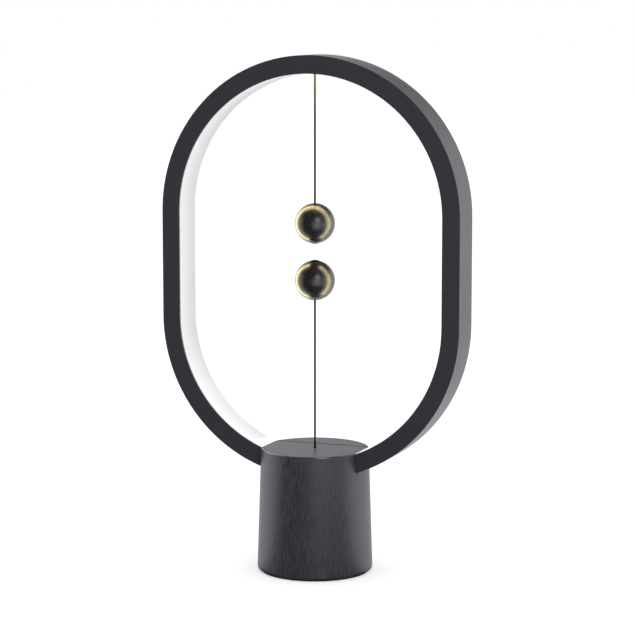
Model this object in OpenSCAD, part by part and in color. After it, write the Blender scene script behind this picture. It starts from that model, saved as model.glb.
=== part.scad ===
/* [Overall] */
// Height from the table to the top of the hoop
total_h = 400; // [340:1:480]
// Width of the hoop across its outside
hoop_w = 243; // [200:1:292]
// Depth of the hoop from its front face to its rear face
hoop_depth = 31; // [26:0.5:38]
// Thickness of the hoop from its outer face to its inner face
hoop_t = 14; // [12:0.5:17]

/* [Base] */
// Height of the base's top face above the table
base_h = 96.5; // [88:0.5:116]
// Diameter of the base at its top
base_top_d = 84; // [80:1:101]
// Diameter of the base at its bottom
base_bottom_d = 90; // [84:1:108]
// Wall thickness of the two base shells
base_wall = 2.4; // [2:0.1:3]
// Thickness of the base's top
base_top_t = 2.6; // [2:0.1:3.2]
// How far the hoop's inner face lies below the base's top
hoop_sunk = 7.5; // [6:0.5:9]
// Thickness of the foot pad
pad_t = 1.5; // [1:0.1:2]
// Gap between the table and the rim of the shells
rim_z = 0.8; // [0.5:0.1:1]
// Rounding of the base's top edge
top_round = 1.0; // [0.6:0.1:1.6]
// Rounding of the base's bottom edge
bottom_round = 2.6; // [1:0.1:3]

/* [Hoop section] */
// Wall of the hoop's shell, front plate and outer band
hoop_wall = 1.8; // [1.5:0.1:2.2]
// Thickness of the opal diffuser
diffuser_t = 1.8; // [1.4:0.1:2.2]
// Width of the light strip
strip_w = 8; // [6:0.5:10]
// Thickness of the light strip with its adhesive
strip_t = 0.5; // [0.3:0.1:0.8]
// Number of light chips along each half circle
chips_per_arc = 22; // [12:1:26]
// Number of light chips along each straight side
chips_per_side = 5; // [2:1:8]

/* [Balls and cords] */
// Diameter of each ball
ball_d = 31; // [26:0.5:37]
// Free length of the upper cord, from the hoop down to its ball
upper_cord_l = 99.2; // [84:0.5:118]
// Gap between the two balls while the magnets hold the lower one up
float_gap = 13.1; // [8:0.1:16]
// Diameter of the cords
cord_d = 1.6; // [1:0.1:2]
// Diameter of each ball's magnet
magnet_d = 6.6; // [5:0.1:8]
// Length of each ball's magnet
magnet_l = 12; // [8:0.5:14]
// Distance from the base's top to the lower cord's first bend
lower_bend_h = 5; // [4.5:0.1:7]
// Length of lower cord that lies across the base's top when the lamp is off
lower_mid_l = 47; // [45:0.5:56]

/* [Switch] */
// Travel of the lower cord between lamp off and lamp on
pull_travel = 4; // [3:0.1:4.5]
// Distance from the lever's pin to the cord
cord_arm = 16; // [14:0.5:19]
// Distance from the lever's pin to the switch plunger
plunger_arm = 6; // [5.5:0.1:7]
// Diameter of the lever's pin
lever_pin_d = 3; // [2.5:0.1:3.6]
// Width of the lever
lever_w = 5.4; // [4.5:0.1:6.4]

/* [Inside the base] */
// Thickness of the floor plate
floor_t = 3.2; // [2.6:0.1:4]
// Thickness of the steel ballast weight
ballast_t = 10; // [7:0.5:11]
// Height of the driver board's underside above the floor plate
board_lift = 12.8; // [12:0.1:15]
// Thickness of the driver board
board_t = 1.6; // [1:0.1:2]
// Width of the driver board
board_w = 44; // [40:1:50]

/* [Hidden] */
$fn = 96;

// Clearances
seat_gap = 0.2;    // between pieces that seat on each other
press_gap = 0.05;  // between a screw or peg and its own hole
run_gap = 0.06;    // between a pin and a lever that turns on it
cord_gap = 0.3;    // between a cord and the hole it runs through
cut = 1;           // how far a cutting shape runs past a face

// Hoop outline: two half circles joined by straight sides
r_out = hoop_w / 2;
r_in = r_out - hoop_t;
hoop_bottom_z = base_h - hoop_sunk - hoop_t;
arc_lo_z = hoop_bottom_z + r_out;
arc_hi_z = total_h - r_out;
side_l = arc_hi_z - arc_lo_z;
front_y = -hoop_depth / 2;
rear_y = hoop_depth / 2;
hoop_inner_top_z = total_h - hoop_t;

// Layers across the hoop
band_in_r = r_out - hoop_wall;
strip_out_r = band_in_r - press_gap;
strip_in_r = strip_out_r - strip_t;
diffuser_out_r = r_in + diffuser_t;
flange_r = diffuser_out_r + 3;
flange_t = 1.4;
ledge_w = 1.6;
ledge_t = 1.6;
cover_y0 = rear_y - hoop_wall;
channel_y0 = front_y + hoop_wall + press_gap;   // the diffuser's channel, front and back
channel_y1 = cover_y0 - press_gap;
diffuser_open = 10;     // half angle left open at the bottom, inside the base
strip_open = 8.5;       // the same for the light strip
tongue_w = 8;
tongue_t = 1.2;
tongue_l = 5;
chip_size = [3.5, 2.8, 1.3];

// Ball and cord stations on the lamp's centre line
cord_r = cord_d / 2;
ball_r = ball_d / 2;
upper_ball_z = hoop_inner_top_z - upper_cord_l - ball_r;
lower_ball_z = upper_ball_z - ball_d - float_gap;
upper_pivot_z = hoop_inner_top_z - cord_r - 0.2;
lower_pivot_z = base_h + lower_bend_h;
rim_pivot_z = lower_pivot_z + lower_mid_l;
bend_r = cord_r + 0.02;           // small round of cord at each bend
bend_step = bend_r + 0.06;        // a swinging length of cord starts this far from the bend
magnet_r = magnet_d / 2;
cap_t = 1.2;
cap_proud = 0.45;
crimp_r = cord_r + 0.6;
crimp_l = 8;
anchor_t = 2.4;
anchor_y0 = front_y + hoop_wall + flange_t + 0.3;
bush_flange_r = 3.4;
bush_flange_t = 0.9;
knot_r = 2;

// Base outline
base_r_lo = base_bottom_d / 2;
base_r_hi = base_top_d / 2;
taper = atan((base_r_lo - base_r_hi) / (base_h - rim_z));
arc_steps = 6;

// Seam between the two shells, just behind the hoop
seam_y = rear_y + 0.3;
seam_gap = 0.2;
cradle_t = 2.4;
cradle_front_y = front_y - seat_gap - 2.2;
cradle_bottom_z = hoop_bottom_z - seat_gap - cradle_t;
seam_root_l = 3;      // where a tongue joins the rear shell's wall
seam_tongue_z0 = 16;
seam_tongue_z1 = 0.55 * base_h;

// Floor, ballast and board
floor_z = pad_t;
floor_top_z = floor_z + floor_t;
boss_r = 3.6;
boss_l = 11;
boss_bore_r = 1.5;
boss_pos_r = base_in_r(floor_top_z) - boss_r + 0.6;
front_boss_angles = [-50, -130];
rear_boss_angles = [50, 130];
ballast_r = boss_pos_r - boss_r - 0.3;
ballast_z = floor_top_z + seat_gap;
board_z = floor_top_z + board_lift;
board_top_z = board_z + board_t;
post_r = 3.2;
post_pos_r = 22;
post_angles = [30, 150, 270];
post_bore_r = 1.25;
ballast_screw_angles = [90, 210, 330];
ballast_screw_pos_r = 26;
screw_r = 1.45;
small_screw_r = post_bore_r - press_gap;
head_r = 2.9;
head_t = 1.5;
small_head_r = 2.3;
usb_w = 9;
usb_h = 3.3;
usb_l = 7.3;
usb_z = board_top_z + usb_h / 2 + 0.05;
usb_mouth_y = base_in_r(usb_z) - 0.6;
usb_cut_w = usb_w + 1.4;
usb_cut_h = usb_h + 1.2;
inlet_rim = 1.6;      // width and depth of the hollow round the inlet
inlet_depth = 1.1;

// Switch mechanism, hung under the hoop's cradle
carrier_top_z = cradle_bottom_z - 4;
carrier_t = 2;
carrier_z = carrier_top_z - carrier_t;
cheek_t = 2;
cheek_y = lever_w / 2 + 0.4;
lever_drop = 8.4;
lever_z = carrier_z - lever_drop;
lever_t = 2;
lever_pin_r = lever_pin_d / 2;
nub_r = 1;
plunger_x = cord_arm + plunger_arm;
plunger_r = 1.2;
plunger_top_z = lever_z - lever_t / 2 - nub_r - 0.1;
switch_top_z = plunger_top_z - 1.3;
switch_body = [12.8, 2 * cheek_y - 0.4, 6.6];
switch_x = plunger_x - 5;
switch_z = switch_top_z - switch_body[2];
switch_pin_r = 1;
switch_pin_z = switch_z + 1.8;
switch_pin_xs = [switch_x + 3.1, switch_x + 9.6];
plunger_stroke = pull_travel * plunger_arm / cord_arm;
plunger_guide_l = 1.5;   // what stays in the switch when the plunger is up
plunger_z = switch_top_z - plunger_stroke - plunger_guide_l;
ferrule_r = 2.4;
ferrule_z = lever_z - lever_t / 2 - 0.3 - ferrule_r;
carrier_x0 = -11.5;
carrier_x1 = 36;
carrier_screw_xs = [-7.2, 32];
carrier_boss_r = 3.4;
spring_x = cord_arm / 2;
spring_r = 1.85;
spring_wire_r = 0.3;
spring_turns = 5;
spring_steps = 10;
hoop_screw_angle = 11;
hoop_screw_y = front_y + 6.5;
hoop_pad_l = 6;
lead_x = -14;
lead_r = 0.6;
lead_dy = 1.1;
lead_hole_r = 2.6;
lead_pad_l = 6;       // how far each lead lies along the strip where it is soldered
lead_end_x = lead_x - lead_pad_l;
chip_clear = abs(lead_end_x) + lead_r + chip_size[0] / 2 + seat_gap;
chip_start = asin(chip_clear / strip_in_r);   // first chip's angle from the bottom
cord_hole_r = 2.5;
connector_size = [7, 6, 5.6];
connector_pos = [[-9, 18], [9, 18]];
pin_pitch = 3.2;      // between the two pins of a connector

function base_r(z) = base_r_lo + (base_r_hi - base_r_lo) * (z - rim_z) / (base_h - rim_z);
function base_in_r(z) = base_r(z) - base_wall / cos(taper);
function arc_pts(cx, cz, r, a0, a1) =
  [for (i = [0 : arc_steps]) let(t = a0 + (a1 - a0) * i / arc_steps) [cx + r * cos(t), cz + r * sin(t)]];
function boss_xy(angle) = [boss_pos_r * cos(angle), boss_pos_r * sin(angle), 0];
function ring_xy(r, angle) = [r * cos(angle), r * sin(angle), 0];

// ---------- shapes that several pieces share ----------

// The hoop's outline at radius r, drawn with x across and y up
module outline(r) {
  translate([0, arc_lo_z]) circle(r);
  translate([0, arc_hi_z]) circle(r);
  translate([-r, arc_lo_z]) square([2 * r, side_l]);
}

// Everything between two radii of the hoop's outline
module outline_ring(ro, ri) {
  difference() {
    outline(ro);
    outline(ri);
  }
}

// Stands a flat drawing up in the XZ plane, from y0 to y1
module upright(y0, y1) {
  translate([0, y1, 0]) rotate([90, 0, 0]) linear_extrude(y1 - y0) children();
}

// A wedge at the bottom of the hoop, used to leave a strip open inside the base
module bottom_wedge(half_angle) {
  reach = r_out + 20;
  polygon([[0, arc_lo_z], [-reach * tan(half_angle), arc_lo_z - reach],
    [reach * tan(half_angle), arc_lo_z - reach]]);
}

// Places children on the hoop's lower arc, pointing from its centre outwards and down
module on_lower_arc(angle, r, y) {
  translate([0, y, arc_lo_z]) rotate([0, angle, 0]) translate([0, 0, -r]) children();
}

module cyl_y(r, y0, y1) {
  translate([0, y0, 0]) rotate([-90, 0, 0]) cylinder(r = r, h = y1 - y0);
}

// A straight round length from p to q
module rod(p, q, r) {
  d = q - p;
  len = norm(d);
  translate(p) rotate([0, acos(d[2] / len), atan2(d[1], d[0])]) cylinder(r = r, h = len, $fn = 32);
}

// A wire through the given points, with round corners
module wire(pts, r) {
  for (i = [0 : len(pts) - 2]) rod(pts[i], pts[i + 1], r);
  for (i = [1 : len(pts) - 2]) translate(pts[i]) sphere(r * 1.04, $fn = 32);
}

// A pan head screw with its head down at the origin and its shank pointing up
module screw(shank_r, shank_l, hr, ht) {
  cylinder(r = hr, h = ht, $fn = 48);
  cylinder(r = shank_r, h = ht + shank_l, $fn = 32);
}

// The base's outer form, with both edges rounded
module base_form() {
  lo_x = base_r_lo - bottom_round * (1 + sin(taper)) / cos(taper);
  hi_x = base_r_hi - top_round * (1 - sin(taper)) / cos(taper);
  rotate_extrude() polygon(concat([[0, rim_z]],
    arc_pts(lo_x, rim_z + bottom_round, bottom_round, -90, taper),
    arc_pts(hi_x, base_h - top_round, top_round, taper, 90), [[0, base_h]]));
}

// The space inside the base's wall, up to a height and short of the wall by a gap
module base_inside(z1, gap = 0) {
  rotate_extrude() polygon([[0, rim_z - cut], [base_in_r(rim_z - cut) - gap, rim_z - cut],
    [base_in_r(z1) - gap, z1], [0, z1]]);
}

// The passage that the hoop fills, open to the rear
module hoop_passage() {
  upright(front_y - seat_gap, seam_y + base_bottom_d) outline_ring(r_out + seat_gap, r_in - seat_gap);
}

// A cord pulled straight up or down between two heights
module straight_cord(z0, z1) {
  translate([0, 0, z0]) cylinder(r = cord_r, h = z1 - z0, $fn = 32);
}

// ---------- hoop ----------

module hoop_shell() color("#34333a") difference() {
  union() {
    upright(front_y, front_y + hoop_wall) outline_ring(r_out, r_in);
    upright(front_y, rear_y) outline_ring(r_out, band_in_r);
    upright(cover_y0 - ledge_t, cover_y0) outline_ring(band_in_r + 0.5, band_in_r - ledge_w);
    for (a = [-hoop_screw_angle, hoop_screw_angle])
      on_lower_arc(a, band_in_r + 0.5, hoop_screw_y) cylinder(r = 3.2, h = hoop_pad_l + 0.5);
  }
  translate([0, 0, hoop_bottom_z - cut]) cylinder(r = cord_hole_r, h = hoop_wall + 3);
  translate([lead_x, 0, hoop_bottom_z - cut]) cylinder(r = lead_hole_r, h = hoop_wall + 4);
  for (a = [-hoop_screw_angle, hoop_screw_angle])
    on_lower_arc(a, r_out + cut, hoop_screw_y)
      cylinder(r = post_bore_r, h = hoop_pad_l + hoop_wall + 2 * cut);
}

// Flat plate that closes the hoop's back, held by tongues behind the shell's ledge
module hoop_rear_cover() color("#34333a") {
  upright(cover_y0 + 0.02, rear_y) outline_ring(band_in_r - seat_gap, diffuser_out_r + seat_gap);
  tongue_r = band_in_r - ledge_w - seat_gap;
  for (end = [[arc_hi_z, 1], [arc_lo_z, -1]], a = [-75 : 30 : 75])
    translate([0, 0, end[0]]) rotate([0, a, 0]) scale([1, 1, end[1]])
      translate([-tongue_w / 2, cover_y0 - tongue_l, tongue_r - 2 * tongue_t])
        cube([tongue_w, tongue_l + 0.5, tongue_t]);
  for (s = [-1, 1], z = [arc_lo_z + side_l / 4, arc_hi_z - side_l / 4])
    translate([s * (tongue_r - 1.5 * tongue_t) - tongue_t / 2, cover_y0 - tongue_l, z - tongue_w / 2])
      cube([tongue_t, tongue_l + 0.5, tongue_w]);
}

// Opal channel along the hoop's inner face, with a flange held at each side
module hoop_diffuser() color("#f4f2ec") difference() {
  union() {
    upright(channel_y0, rear_y) outline_ring(diffuser_out_r, r_in);
    upright(channel_y0, channel_y0 + flange_t) outline_ring(flange_r, r_in);
    upright(channel_y1 - flange_t, channel_y1) outline_ring(flange_r, r_in);
  }
  upright(front_y - cut, rear_y + cut) bottom_wedge(diffuser_open);
  translate([0, 0, hoop_inner_top_z - cut]) cylinder(r = cord_r + 1.2, h = diffuser_t + 2 * cut);
}

module led_strip() color("#f0ead8") difference() {
  upright(-strip_w / 2, strip_w / 2) outline_ring(strip_out_r, strip_in_r);
  upright(-strip_w / 2 - cut, strip_w / 2 + cut) bottom_wedge(strip_open);
}

module led_chip() {
  translate([0, 0, chip_size[2] / 2]) cube(chip_size, center = true);
}

// Light chips in two half circles and two straight runs
module led_chips() color("#f7d66b") {
  chip_r = strip_in_r - 0.05;
  step = 180 / chips_per_arc;
  for (i = [0 : chips_per_arc - 1]) {
    a = -90 + step * (i + 0.5);
    translate([0, 0, arc_hi_z]) rotate([0, a, 0]) translate([0, 0, chip_r]) mirror([0, 0, 1]) led_chip();
    if (abs(a) > chip_start)
      translate([0, 0, arc_lo_z]) rotate([0, a, 0]) translate([0, 0, -chip_r]) led_chip();
  }
  for (s = [-1, 1], k = [0 : chips_per_side - 1])
    translate([s * chip_r, 0, arc_lo_z + side_l * (k + 0.5) / chips_per_side])
      rotate([0, -s * 90, 0]) led_chip();
}

module led_leads() color("#c33b32") {
  solder_z = arc_lo_z - sqrt(pow(strip_in_r, 2) - pow(lead_end_x, 2)) + lead_r + 0.25;
  c = connector_pos[0];
  for (s = [-1, 1])
    wire([[c[0] + s * pin_pitch / 2, c[1], board_top_z + connector_size[2] + 0.05],
      [c[0] + s * pin_pitch / 2, c[1], board_top_z + connector_size[2] + 6],
      [lead_x, s * lead_dy, cradle_bottom_z - 14], [lead_x, s * lead_dy, solder_z],
      [lead_end_x, s * lead_dy, solder_z]], lead_r);
}

// ---------- upper cord and ball ----------

// Bar across the diffuser's channel, between its flanges, that the upper cord hangs from
module upper_cord_anchor() color("#d8d5cf") difference() {
  z0 = hoop_inner_top_z + diffuser_t + bush_flange_t + seat_gap;
  translate([-6, anchor_y0, z0])
    cube([12, -2 * anchor_y0, anchor_t]);
  translate([0, 0, z0 - cut]) cylinder(r = cord_r + press_gap, h = anchor_t + 2 * cut, $fn = 48);
}

module upper_cord_bush() color("#1c1c1f") difference() {
  union() {
    translate([0, 0, hoop_inner_top_z + 0.05]) cylinder(r = cord_r + 1.15, h = diffuser_t);
    translate([0, 0, hoop_inner_top_z + diffuser_t + 0.05]) cylinder(r = bush_flange_r, h = bush_flange_t);
  }
  translate([0, 0, hoop_inner_top_z - cut])
    cylinder(r = cord_r + 0.1, h = diffuser_t + bush_flange_t + 2 * cut);
}

// The cord's fixed end: a length through the bush and anchor, and the knot above them
module upper_cord_knot() color("#3a3422") {
  knot_z = hoop_inner_top_z + diffuser_t + bush_flange_t + seat_gap + anchor_t + knot_r * 0.85;
  straight_cord(upper_pivot_z + bend_step, knot_z);
  difference() {
    translate([0, 0, knot_z]) sphere(knot_r);
    translate([-5, -5, knot_z - knot_r - cut]) cube([10, 10, cut + knot_r * 0.15 + 0.05]);
  }
}

// The bend where the hanging cord turns, a round of cord just under the hoop
module upper_cord_bend() color("#1e1c18") translate([0, 0, upper_pivot_z]) sphere(bend_r, $fn = 32);

module upper_cord() color("#1e1c18")
  straight_cord(upper_ball_z + ball_r - crimp_l + 0.5, upper_pivot_z - bend_step);

// A ball bored on one side for its magnet and on the other for the crimp on its cord.
// side is 1 where the cord enters from above, -1 where it enters from below.
module ball(z, side) translate([0, 0, z]) scale([1, 1, side]) difference() {
  sphere(ball_r, $fn = 128);
  translate([0, 0, -ball_r - cut]) cylinder(r = magnet_r + press_gap, h = magnet_l + cap_t + cut + 0.4);
  translate([0, 0, ball_r - crimp_l]) cylinder(r = crimp_r + press_gap, h = crimp_l + cut);
}

module magnet(z, side) translate([0, 0, z - side * (ball_r - cap_t - 0.35)])
  translate([0, 0, side > 0 ? 0 : -magnet_l]) cylinder(r = magnet_r, h = magnet_l);

// Thin disc that closes the magnet's bore and stands slightly proud of the ball
module ball_cap(z, side) translate([0, 0, z]) scale([1, 1, side]) intersection() {
  translate([0, 0, -ball_r - cap_proud]) cylinder(r = magnet_r, h = cap_t + cap_proud + 0.2);
  translate([0, 0, -ball_r - cap_proud + 9]) sphere(9, $fn = 96);
}

// Tube pressed on the cord's end, inside the ball and just flush with its skin
module crimp(z, side) translate([0, 0, z]) scale([1, 1, side]) difference() {
  translate([0, 0, ball_r - crimp_l + 0.1]) cylinder(r = crimp_r, h = crimp_l - 0.3);
  translate([0, 0, ball_r - crimp_l + 0.4]) cylinder(r = cord_r + 0.02, h = crimp_l + cut);
}

module upper_ball() color("#3b3936") ball(upper_ball_z, 1);
module upper_magnet() color("#a9abad") magnet(upper_ball_z, 1);
module upper_ball_cap() color("#141416") ball_cap(upper_ball_z, 1);
module upper_cord_crimp() color("#4b4431") crimp(upper_ball_z, 1);

// ---------- lower cord and ball ----------

module lower_ball() color("#3b3936") ball(lower_ball_z, -1);
module lower_magnet() color("#a9abad") magnet(lower_ball_z, -1);
module lower_ball_cap() color("#141416") ball_cap(lower_ball_z, -1);
module lower_cord_crimp() color("#4b4431") crimp(lower_ball_z, -1);

module lower_cord_end() color("#1e1c18")
  straight_cord(rim_pivot_z + bend_step, lower_ball_z - ball_r + crimp_l - 0.5);

// The middle length, with a round of cord at the bend above it
module lower_cord_mid() color("#1e1c18") {
  straight_cord(lower_pivot_z + bend_step, rim_pivot_z);
  translate([0, 0, rim_pivot_z]) sphere(bend_r, $fn = 32);
}

// The length that slides through the base, down to the ferrule under the lever
module lower_cord_tail() color("#1e1c18") {
  straight_cord(ferrule_z - ferrule_r - 1.5, lower_pivot_z);
  translate([0, 0, lower_pivot_z]) sphere(bend_r, $fn = 32);
}

module cord_ferrule() color("#b9b4a4") difference() {
  translate([0, 0, ferrule_z]) sphere(ferrule_r);
  translate([0, 0, ferrule_z - ferrule_r - cut])
    cylinder(r = cord_r + 0.02, h = 2 * ferrule_r + 2 * cut);
}

module base_cord_bush() color("#141416") difference() {
  z0 = base_h - hoop_sunk + seat_gap + 0.5;
  translate([0, 0, z0]) cylinder(r = cord_r + cord_gap + 0.8, h = base_h - 0.1 - z0);
  translate([0, 0, z0 - cut]) cylinder(r = cord_r + cord_gap, h = hoop_sunk + 2 * cut);
}

// ---------- base ----------

// Solid saddle around the hoop, joined to the shell's wall and top
module hoop_cradle() {
  intersection() {
    upright(cradle_front_y, seam_y) intersection() {
      outline(r_out + seat_gap + cradle_t);
      translate([-base_bottom_d, 0]) square([2 * base_bottom_d, base_h - 1]);
    }
    base_inside(base_h - 1);
  }
  for (x = carrier_screw_xs)
    translate([x, 0, carrier_top_z + 0.1])
      cylinder(r = carrier_boss_r, h = hoop_bottom_z + 4 - carrier_top_z);
}

module shell_bosses(angles) {
  for (a = angles) translate(boss_xy(a) + [0, 0, floor_top_z + 0.1]) cylinder(r = boss_r, h = boss_l);
}

module shell_boss_bores(angles) {
  for (a = angles) translate(boss_xy(a) + [0, 0, floor_top_z - cut])
    cylinder(r = boss_bore_r, h = boss_l - 0.5);
}

// Front shell: wall, top and cradle in one moulding, cut off at the seam behind the hoop
module base_shell() color("#45444a") difference() {
  union() {
    difference() {
      base_form();
      base_inside(base_h - base_top_t);
    }
    hoop_cradle();
    intersection() {
      shell_bosses(front_boss_angles);
      base_form();
    }
  }
  translate([-base_bottom_d, seam_y, 0]) cube([2 * base_bottom_d, base_bottom_d, base_h + cut]);
  hoop_passage();
  shell_boss_bores(front_boss_angles);
  translate([0, 0, base_h - hoop_sunk - cut])
    cylinder(r = cord_r + cord_gap + 0.82, h = hoop_sunk + 2 * cut);
  translate([0, 0, carrier_top_z]) cylinder(r = cord_hole_r, h = hoop_bottom_z - carrier_top_z);
  translate([lead_x, 0, carrier_top_z]) cylinder(r = lead_hole_r, h = hoop_bottom_z + 1 - carrier_top_z);
  for (a = [-hoop_screw_angle, hoop_screw_angle])
    on_lower_arc(a, r_out + cradle_t + 2 * cut, hoop_screw_y)
      cylinder(r = screw_r + 0.1, h = cradle_t + 3 * cut);
  for (x = carrier_screw_xs)
    translate([x, 0, carrier_top_z - cut]) cylinder(r = boss_bore_r, h = hoop_bottom_z - carrier_top_z);
}

// Rear shell: closes the base behind the seam and holds the hoop in its passage
module base_rear_cover() color("#45444a") {
  difference() {
    union() {
      difference() {
        base_form();
        base_inside(base_h - base_top_t);
      }
      intersection() {
        upright(seam_y + seam_gap, seam_y + seam_gap + 2) difference() {
          outline(r_out + cradle_t);
          outline(r_in - 2);
        }
        base_inside(base_h - 1);
      }
      intersection() {
        shell_bosses(rear_boss_angles);
        base_form();
      }
    }
    translate([-base_bottom_d, -base_bottom_d, 0])
      cube([2 * base_bottom_d, base_bottom_d + seam_y + seam_gap, base_h + cut]);
    shell_boss_bores(rear_boss_angles);
    usb_slot(usb_cut_w, usb_cut_h, usb_mouth_y - cut, base_r_lo + cut);
    usb_slot(usb_cut_w + 2 * inlet_rim, usb_cut_h + 2 * inlet_rim,
      base_r(usb_z) - inlet_depth, base_r_lo + cut);
  }
  seam_tongue(seam_y - tongue_l, seat_gap);
  seam_tongue(seam_y + seam_gap, -seat_gap);
}

// Two tongues that line the front shell up, between a start and a depth behind the seam
module seam_tongue(y0, gap) intersection() {
  difference() {
    base_inside(seam_tongue_z1, gap);
    base_inside(seam_tongue_z1 + cut, seat_gap + tongue_t);
  }
  for (s = [-1, 1]) translate([s * base_r_lo - base_r_lo / 2, y0, seam_tongue_z0])
    cube([base_r_lo, seam_y + seam_gap + seam_root_l - y0, seam_tongue_z1 - seam_tongue_z0]);
}

// A slot with round ends, lying across and run from y0 to y1
module usb_slot(w, h, y0, y1) {
  for (s = [-1, 1]) translate([s * (w - h) / 2, 0, usb_z]) cyl_y(h / 2, y0, y1);
  translate([-(w - h) / 2, y0, usb_z - h / 2]) cube([w - h, y1 - y0, h]);
}

// Floor plate with posts for the driver board, screwed up into both shells
module base_floor() color("#2b2b2e") difference() {
  union() {
    translate([0, 0, floor_z]) cylinder(r = base_in_r(floor_top_z) - seat_gap, h = floor_t, $fn = 160);
    for (a = post_angles) translate(ring_xy(post_pos_r, a) + [0, 0, floor_z + 1])
      cylinder(r = post_r, h = board_z - floor_z - 1);
  }
  for (a = post_angles) translate(ring_xy(post_pos_r, a) + [0, 0, floor_top_z])
    cylinder(r = post_bore_r, h = board_lift + cut);
  for (a = concat(front_boss_angles, rear_boss_angles)) translate(boss_xy(a)) {
    translate([0, 0, floor_z - cut]) cylinder(r = boss_bore_r, h = floor_t + 2 * cut);
    translate([0, 0, floor_z - cut]) cylinder(r = head_r + 0.2, h = head_t + 0.1 + cut);
  }
  for (a = ballast_screw_angles) translate(ring_xy(ballast_screw_pos_r, a) + [0, 0, floor_z + 0.4])
    cylinder(r = screw_r + press_gap, h = floor_t + cut);
}

module foot_pad() color("#17171a") cylinder(r = base_in_r(pad_t) - 0.4, h = pad_t, $fn = 160);

// Steel disc that keeps the lamp standing, dropped over the board posts
module ballast_weight() color("#8a8c8f") translate([0, 0, ballast_z]) difference() {
  cylinder(r = ballast_r, h = ballast_t, $fn = 160);
  for (a = post_angles) translate(ring_xy(post_pos_r, a) + [0, 0, -cut])
    cylinder(r = post_r + 0.3, h = ballast_t + 2 * cut);
  for (a = ballast_screw_angles) translate(ring_xy(ballast_screw_pos_r, a)) {
    translate([0, 0, -cut]) cylinder(r = screw_r + 0.3, h = ballast_t + 2 * cut);
    translate([0, 0, ballast_t - head_t - 0.6]) cylinder(r = head_r + 0.3, h = head_t + cut);
  }
}

module driver_board() color("#1f5a3c") translate([0, 0, board_z + 0.02]) difference() {
  union() {
    translate([-board_w / 2, -27, 0]) cube([board_w, 57, board_t - 0.02]);
    translate([-8, 29, 0]) cube([16, usb_mouth_y - 31, board_t - 0.02]);
  }
  for (a = post_angles) translate(ring_xy(post_pos_r, a) + [0, 0, -cut])
    cylinder(r = small_screw_r + 0.15, h = board_t + 2 * cut);
}

module board_capacitor() color("#2e2f6b") translate([-12, -9, board_top_z]) {
  cylinder(r = 4, h = 11);
  cylinder(r = 4.3, h = 1.2);
}

module board_inductor() color("#4a4a4a") translate([12, -9, board_top_z]) difference() {
  cylinder(r = 5.2, h = 4.6);
  translate([0, 0, 1]) difference() {
    cylinder(r = 6, h = 2.6);
    cylinder(r = 4.4, h = 2.6);
  }
}

module board_chips() color("#222226") {
  translate([-3, 2, board_top_z]) cube([6, 5, 1.6]);
  translate([-4, -14, board_top_z]) cube([5, 4, 1.4]);
  for (i = [0 : 3]) translate([-7 + 4 * i, 10, board_top_z]) cube([2, 1.2, 0.8]);
}

// Two pin connectors for the leads
module lead_connectors() color("#e8e4da") for (c = connector_pos)
  translate([c[0], c[1], board_top_z]) difference() {
    translate([-connector_size[0] / 2, -connector_size[1] / 2, 0]) cube(connector_size);
    for (s = [-1, 1]) translate([s * pin_pitch / 2, 0, connector_size[2] - 2])
      cylinder(r = lead_r + 0.3, h = 1.5 + cut, $fn = 32);
  }

module usb_socket() color("#b7b9bb") {
  difference() {
    usb_slot(usb_w, usb_h, usb_mouth_y - usb_l, usb_mouth_y);
    usb_slot(usb_w - 0.6, usb_h - 0.6, usb_mouth_y - usb_l + 1, usb_mouth_y + cut);
  }
  translate([-3.4, usb_mouth_y - usb_l + 0.5, usb_z - 0.35]) cube([6.8, usb_l - 1.2, 0.7]);
}

// ---------- switch ----------

// Bracket under the cradle with two cheeks for the lever's pin and the microswitch
module switch_carrier() color("#d8d5cf") difference() {
  union() {
    translate([carrier_x0, -11, carrier_z]) cube([carrier_x1 - carrier_x0, 22, carrier_t]);
    for (s = [-1, 1]) translate([cord_arm - 4, s > 0 ? cheek_y : -cheek_y - cheek_t, switch_z - 0.5])
      cube([switch_x + switch_body[0] - cord_arm + 5, cheek_t, carrier_z - switch_z + 1]);
  }
  translate([0, 0, carrier_z - cut]) cylinder(r = cord_hole_r, h = carrier_t + 2 * cut);
  for (x = carrier_screw_xs) translate([x, 0, carrier_z - cut])
    cylinder(r = screw_r + 0.15, h = carrier_t + 2 * cut);
  translate([cord_arm, 0, lever_z])
    cyl_y(lever_pin_r + press_gap, -cheek_y - cheek_t - cut, cheek_y + cheek_t + cut);
  for (x = switch_pin_xs) translate([x, 0, switch_pin_z])
    cyl_y(switch_pin_r + press_gap, -cheek_y - cheek_t - cut, cheek_y + cheek_t + cut);
}

// Rocking lever: long arm to the cord, short arm over the plunger
module switch_lever() color("#e9e7e1") difference() {
  union() {
    translate([-3.6, -lever_w / 2, lever_z - lever_t / 2])
      cube([plunger_x + 5.6, lever_w, lever_t]);
    translate([cord_arm, 0, lever_z]) cyl_y(lever_pin_r + 1.6, -lever_w / 2, lever_w / 2);
    translate([plunger_x, 0, lever_z - lever_t / 2]) cyl_y(nub_r, -lever_w / 2, lever_w / 2);
  }
  translate([cord_arm, 0, lever_z]) cyl_y(lever_pin_r + run_gap, -lever_w, lever_w);
  translate([0, 0, lever_z - lever_t]) cylinder(r = cord_r + 1.1, h = 2 * lever_t);
}

module lever_pin() color("#b7b9bb") translate([cord_arm, 0, lever_z]) {
  cyl_y(lever_pin_r, -cheek_y - cheek_t - 0.6, cheek_y + cheek_t + 0.6);
  cyl_y(lever_pin_r + 0.8, cheek_y + cheek_t + 0.1, cheek_y + cheek_t + 0.9);
}

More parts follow.
